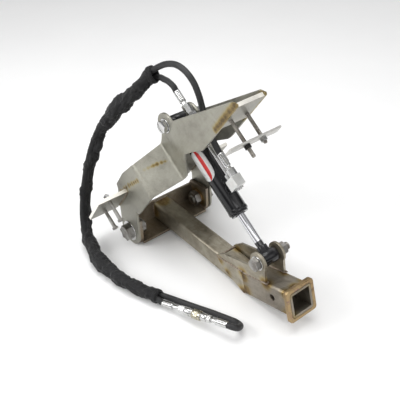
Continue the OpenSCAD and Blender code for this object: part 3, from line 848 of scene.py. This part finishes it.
def make_collar():
    """The coupler's sliding sleeve, with a knurled grip."""
    def knurl(angle):
        return 0.0113 + 0.0002 * math.cos(32 * angle)

    profile = [(0.088, 0.0089), (0.088, 0.0103), (0.0892, 0.0112), (0.0925, 0.0112), (0.0932, 0.0103),
               (0.0945, 0.0103), (0.0950, knurl), (0.1040, knurl), (0.1046, 0.0103), (0.1058, 0.0103),
               (0.1066, 0.0114), (0.1098, 0.0114), (0.111, 0.0103), (0.111, 0.0089)]
    shape = Shape().lathe(COUPLER, profile, 216, (False, False))
    shape.make("coupler_collar_knurled", "brass", "collar", "zinc_plate", ["coupler_collar"])


def make_top_ferrules():
    shape = Shape()
    for b, x0, x1, neck in ((0.056, -0.046, -0.016, -0.0075), (0.066, 0.135, 0.169, 0.1762)):
        place = CYLINDER @ Matrix.Translation((0, 0, b))
        crimped(shape, place, x0, x1, 0.0082)
        shape.lathe(place, [(x1 - 0.001, 0.0055), (x1 + 0.001, 0.006), (neck, 0.006)])
    shape.make("top_ferrules_crimped", "zinc", "barrel", "zinc_plate", ["top_ferrules"])


# ---------------------------------------------------------------- bolts and nuts


# height of the round washer face under a bolt's head
WASHER_FACE = 0.0008
CLAMP_BOLT = 0.0047625
CLAMP_NUT_FLATS = 0.0143
CLAMP_NUT_BORE = 0.0048


def bolt(shape, place, flats, head, shank, radius, thread_from):
    """A hex bolt along local X: head = (outer, inner) face, shank to its tip, threaded from a point on."""
    outer, inner = head
    way = 1 if shank > inner else -1
    shape.hexagon(place, flats, outer, inner - way * WASHER_FACE)
    shape.lathe(place, [(inner - way * WASHER_FACE * 1.5, flats * 0.46), (inner, flats * 0.46)])
    shape.lathe(place, [(inner - way * 0.001, radius), (thread_from, radius)])
    shape.thread(place, radius, thread_from, shank)


def nut_on_washer(shape, place, start):
    """A 3/8 inch nut standing on its flat washer, which starts at a distance along local X."""
    rim = ((0.0, 0.0049), (0.0, 0.0100), (0.0004, 0.0103), (0.0016, 0.0103), (0.0020, 0.0100),
           (0.0020, 0.0049))
    shape.hexagon(place, CLAMP_NUT_FLATS, start + 0.0020, start + 0.0103, CLAMP_NUT_BORE)
    shape.lathe(place, [(start + x, r) for x, r in rim], 40, (False, False))


def make_fasteners():
    clamp = Shape()
    for y, tail in ((-0.022, -0.078), (0.022, -0.062)):
        clamp.thread(upright(CHASSIS, (0.514, y, 0), down=True), CLAMP_BOLT, 0.0, -tail)
        clamp.thread(upright(CHASSIS, (0.514, y, 0)), CLAMP_BOLT, 0.0, 0.035)
    clamp.make("clamp_bolts_threaded", "plain_bolt", "frame", "zinc_plate", ["clamp_bolts"])

    clamp_tops, wing_bolts, wing_nuts = Shape(), Shape(), Shape()
    for y, name, finish in ((-0.022, "right", "oxide"), (0.022, "left", "zinc")):
        place = upright(CHASSIS, (0.514, y, 0))
        lock = Shape().hexagon(place, CLAMP_NUT_FLATS, -0.057, -0.048, CLAMP_NUT_BORE)
        lock.make(f"clamp_nut_{name}", finish, "clamp", "zinc_plate", ["clamp_nuts"])
        nut_on_washer(clamp_tops, place, 0.0215)
    for side in (-1, 1):
        for u in (0.036, 0.094):
            place = upright(CHASSIS, (u, side * 0.171, 0))
            bolt(wing_bolts, place, CLAMP_NUT_FLATS, (0.0138, 0.020), 0.093, CLAMP_BOLT, 0.045)
            nut_on_washer(wing_nuts, place, 0.0795)
    clamp_tops.make("clamp_top_nuts_chamfered", "zinc", "frame", "zinc_plate", ["clamp_top_nuts"])
    wing_bolts.make("wing_bolts_threaded", "zinc_dull", "frame", "zinc_plate", ["wing_bolts"])
    wing_nuts.make("wing_nuts_chamfered", "zinc", "frame", "zinc_plate", ["wing_nuts"])

    pivot_bolts, pivot_nuts = Shape(), Shape()
    for side in (-1, 1):
        place = across(ARM, side)
        bolt(pivot_bolts, place, 0.038, (0.141, 0.1255), 0.080, 0.0127, 0.104)
        pivot_nuts.hexagon(place, 0.038, 0.085, 0.1027, 0.0128)
    pivot_bolts.make("pivot_bolts_threaded", "zinc_dull", "frame", "zinc_plate", ["pivot_bolts"])
    pivot_nuts.make("pivot_nuts_chamfered", "zinc_dull", "frame", "zinc_plate", ["pivot_nuts"])

    rod_pin = ARM @ Matrix.Translation(ROD_PIN)
    for name, node, body, finish, matrix, head, tip, nut in (
            ("base_pin", "base_pin_bolt", "frame", "zinc", CYLINDER, (-0.0555, -0.0435), 0.063,
             (0.0435, 0.0595)),
            ("clevis", "clevis_pin", "arm", "zinc_dull", rod_pin, (-0.0463, -0.0343), 0.062,
             (0.0343, 0.0503))):
        pin, lock = Shape(), Shape()
        bolt(pin, across(matrix), 0.0286, head, tip, 0.009525, nut[0] - 0.004)
        lock.hexagon(across(matrix), 0.0286, nut[0], nut[1], 0.0096)
        pin.make(f"{name}_bolt_threaded", finish, body, "zinc_plate", [node])
        lock.make(f"{name}_nut_chamfered", finish, body, "zinc_plate", [f"{name}_nut"])


# ---------------------------------------------------------------- welds


def weld(name, routes, radius, body, material="weld", slot="brown_steel", ripple=0.0026):
    """Rippled weld beads along straight-sided routes, in the part's frame."""
    shape = Shape()
    for route in routes:
        corners = [Vector(p) for p in route]
        line = []
        for a, b in zip(corners, corners[1:]):
            count = max(2, round((b - a).length / 0.0009))
            line += [a.lerp(b, i / count) for i in range(count)]
        line.append(corners[-1])

        def bead(s, angle):
            wave = abs(math.sin(math.pi * s / ripple))
            wander = noise.noise(Vector((s * 60, angle, corners[0].x * 50)))
            return radius * (0.86 + 0.16 * wave + 0.16 * wander)

        rings, along = swept(line, bead, 12, (0.31, 0.87, 0.39))
        shape.rings(rings, (True, True), 0.02, along)
    return shape.make(name, material, body, slot, angle=80)


def in_frame(matrix, points):
    return [matrix @ Vector(p) for p in points]


def make_welds():
    plate = []
    for side in (-1, 1):
        for n in (0.070, 0.0795):
            plate.append(in_frame(CHASSIS, [(0.024, side * 0.1235, n), (0.113, side * 0.1235, n)]))
            plate.append(in_frame(CHASSIS, [(0.030, side * 0.116, n), (0.196, side * 0.116, n)]))
        plate.append(in_frame(CHASSIS, [(0.495, side * 0.0345, 0.0215), (0.562, side * 0.0345, 0.0215)]))
        plate.append(in_frame(CHASSIS, [(0.488, side * 0.034, 0.0135), (0.488, side * 0.034, 0.021)]))
    weld("bracket_welds", plate, 0.0026, "frame", slot="bare_steel")

    arm = []
    for side in (-1, 1):
        arm.append(in_frame(ARM, [(x, side * 0.0262, z) for x, z in
                                  ((0.246, 0.025), (0.262, 0.011), (0.284, -0.003), (0.310, -0.013),
                                   (0.340, -0.0205))]))
        arm.append(in_frame(ARM, [(0.248, side * 0.0316, 0.0273), (0.343, side * 0.0316, 0.0424)]))
        arm.append(in_frame(ARM, [(-0.0312, side * 0.026, -0.022), (-0.0312, side * 0.026, 0.024)]))
        arm.append(in_frame(RECEIVER, [(-0.157, side * 0.0308, 0.0322), (-0.073, side * 0.0308, 0.0322)]))
        arm.append(in_frame(RECEIVER, [(-0.155, side * 0.0250, 0.0322), (-0.075, side * 0.0250, 0.0322)]))
        arm.append(in_frame(ARM, [(-0.031, side * 0.1050, 0.026), (-0.031, side * 0.1050, -0.0245),
                                  (0.030, side * 0.1050, -0.0245)]))
    arm.append(in_frame(ARM, [(-0.0312, -0.022, 0.026), (-0.0312, 0.022, 0.026)]))
    arm.append(in_frame(ARM, [(0.252, -0.0245, 0.0265), (0.252, 0.0245, 0.0265)]))
    weld("arm_welds", arm, 0.0024, "arm")

    h = 0.0325
    corners = [(-0.0135, -h, -h), (-0.0135, -h, h), (-0.0135, h, h), (-0.0135, h, -h), (-0.0135, -h, -h)]
    weld("collar_weld", [in_frame(RECEIVER, corners)], 0.0027, "arm")


# ---------------------------------------------------------------- cylinder details


def make_label():
    """A plain silver plate with a narrow red band, wrapped on the barrel. It carries no lettering."""
    f = Finish("label_foil", Metallic=0.35, Coat_Weight=0.5, Coat_Roughness=0.1)
    here = f.coords(uv=True)
    from_middle = f.calc("ABSOLUTE", f.calc("SUBTRACT", f.axis(here, 0), 0.66))
    band = f.span(from_middle, 0.105, 0.12, 1.0, 0.0)
    scuffs = f.noise(f.coords(), 190.0, 4.0, 0.65)
    silver = f.ramp(scuffs, [(0.3, (0.48, 0.48, 0.48)), (0.7, (0.62, 0.62, 0.61))])
    red = f.ramp(scuffs, [(0.3, (0.42, 0.012, 0.012)), (0.7, (0.56, 0.03, 0.025))])
    MATERIALS["label"] = f.set(Base_Color=f.mix(band, silver, red),
                               Roughness=f.span(scuffs, 0.3, 0.7, 0.28, 0.44))

    radius, middle, half_length = 0.0238, 0.128, 0.041
    half_arc, facing = math.radians(50), math.radians(200)
    rows, columns = 28, 28
    verts, faces, uvs = [], [], []
    for i in range(rows + 1):
        for j in range(columns + 1):
            u, v = i / rows, j / columns
            oval = math.sqrt(max(0.0, 1 - (2 * u - 1) ** 4))
            angle = facing + half_arc * (2 * v - 1) * max(0.12, oval)
            verts.append(CYLINDER @ Vector((middle + half_length * (2 * u - 1), radius * math.cos(angle),
                                            -radius * math.sin(angle))))
            uvs.append((v, u))
    for i in range(rows):
        for j in range(columns):
            a = i * (columns + 1) + j
            faces.append((a, a + 1, a + columns + 2, a + columns + 1))
    label = piece("barrel_label", verts, faces, "label", "barrel", uvs)
    thick = label.modifiers.new("thickness", "SOLIDIFY")
    thick.thickness = 0.0003
    thick.offset = 1


def make_cylinder_details():
    """Painted weld rings at the ports and the base, and the ring groove at the barrel's mouth."""
    rings = []
    for port in (0.026, 0.208):
        ring = []
        for k in range(49):
            angle = 2 * math.pi * k / 48
            x, y = port + 0.0098 * math.cos(angle), 0.0098 * math.sin(angle)
            ring.append(CYLINDER @ Vector((x, y, math.sqrt(BARREL_RADIUS ** 2 - y * y))))
        rings.append(ring)
    for side in (-1, 1):
        saddle = []
        for k in range(25):
            b = 0.0166 * math.sin(math.pi * (k / 24 - 0.5))
            y = side * math.sqrt(BARREL_RADIUS ** 2 - b * b)
            saddle.append(CYLINDER @ Vector((math.sqrt(0.0176 ** 2 - b * b), y, b)))
        rings.append(saddle)
    weld("cylinder_welds", rings, 0.0016, "barrel", "black", "black_paint", 0.003)
    r = BARREL_RADIUS
    profile = [(0.2536, r), (0.2536, r + 0.0006), (0.2546, r + 0.0009), (0.2600, r + 0.0009),
               (0.2612, r + 0.0003), (0.2621, r - 0.001), (0.2621, r - 0.0035)]
    shape = Shape().lathe(CYLINDER, profile, 64, (False, False))
    shape.make("barrel_mouth_ring", "black", "barrel", "black_paint")


# ---------------------------------------------------------------- build

make_end_fittings()
make_collar()
make_top_ferrules()
sleeve = make_sleeve()
ties = make_ties()
make_hose("hose_a_cover", "hose_a", FERRULE_A_END,
          HOSE_A_TOP + beside_sleeve(-HOSE_OFFSET) + HOSE_A_END)
make_hose("hose_b_cover", "hose_b", FERRULE_B_END,
          HOSE_B_TOP + beside_sleeve(HOSE_OFFSET) + HOSE_B_END)
make_fasteners()
make_welds()
make_label()
make_cylinder_details()

# ---------------------------------------------------------------- floor and light


def make_stage():
    floor = bpy.data.meshes.new("floor")
    floor.from_pydata([(-6, -6, 0), (6, -6, 0), (6, 6, 0), (-6, 6, 0)], [], [(0, 1, 2, 3)])
    f = Finish("pale_floor", Roughness=0.9)
    tone = f.ramp(f.noise(f.coords(), 3.0, 3.0, 0.5), [(0.0, (0.90, 0.90, 0.90)), (1.0, (0.94, 0.94, 0.94))])
    floor.materials.append(f.set(Base_Color=tone))
    obj = bpy.data.objects.new("floor", floor)
    bpy.context.collection.objects.link(obj)


def make_light(name, place, target, size, power):
    data = bpy.data.lights.new(name, "AREA")
    data.shape = "RECTANGLE"
    data.size, data.size_y = size
    data.energy = power
    light = bpy.data.objects.new(name, data)
    light.location = place
    light.rotation_mode = "QUATERNION"
    light.rotation_quaternion = (Vector(target) - Vector(place)).to_track_quat("-Z", "Y")
    bpy.context.collection.objects.link(light)


def make_world():
    """A studio of bright panels and dark gaps, which the bright metal mirrors."""
    world = bpy.data.worlds.new("studio")
    world.use_nodes = True
    g = Graph(world.node_tree)
    sky = g.tree.nodes["Background"]
    way = g.node("ShaderNodeTexCoord").outputs["Generated"]
    bands = [(0.0, 0.30), (0.12, 0.16), (0.30, 0.22), (0.40, 1.15), (0.62, 1.25), (0.72, 0.55),
             (1.0, 0.85)]
    panel = g.calc("SINE", g.calc("MULTIPLY", g.calc("ARCTAN2", g.axis(way, 1), g.axis(way, 0)), 4.0))
    g.put(sky.inputs[0], g.ramp(g.axis(way, 2), [(place, (grey,) * 3) for place, grey in bands]))
    g.put(sky.inputs[1], g.span(panel, -0.35, 0.35, 0.42, 1.05))
    bpy.context.scene.world = world


make_stage()
make_world()
make_light("overhead", (-0.3, 0.1, 2.2), (0, 0, 0.1), (1.6, 1.6), 26)
make_light("key", (-0.9, -1.9, 1.5), (0, 0, 0.2), (1.1, 1.1), 26)
make_light("fill", (2.0, -0.4, 1.0), (0, 0, 0.2), (1.0, 1.4), 10)
bpy.context.scene.view_settings.view_transform = "Standard"
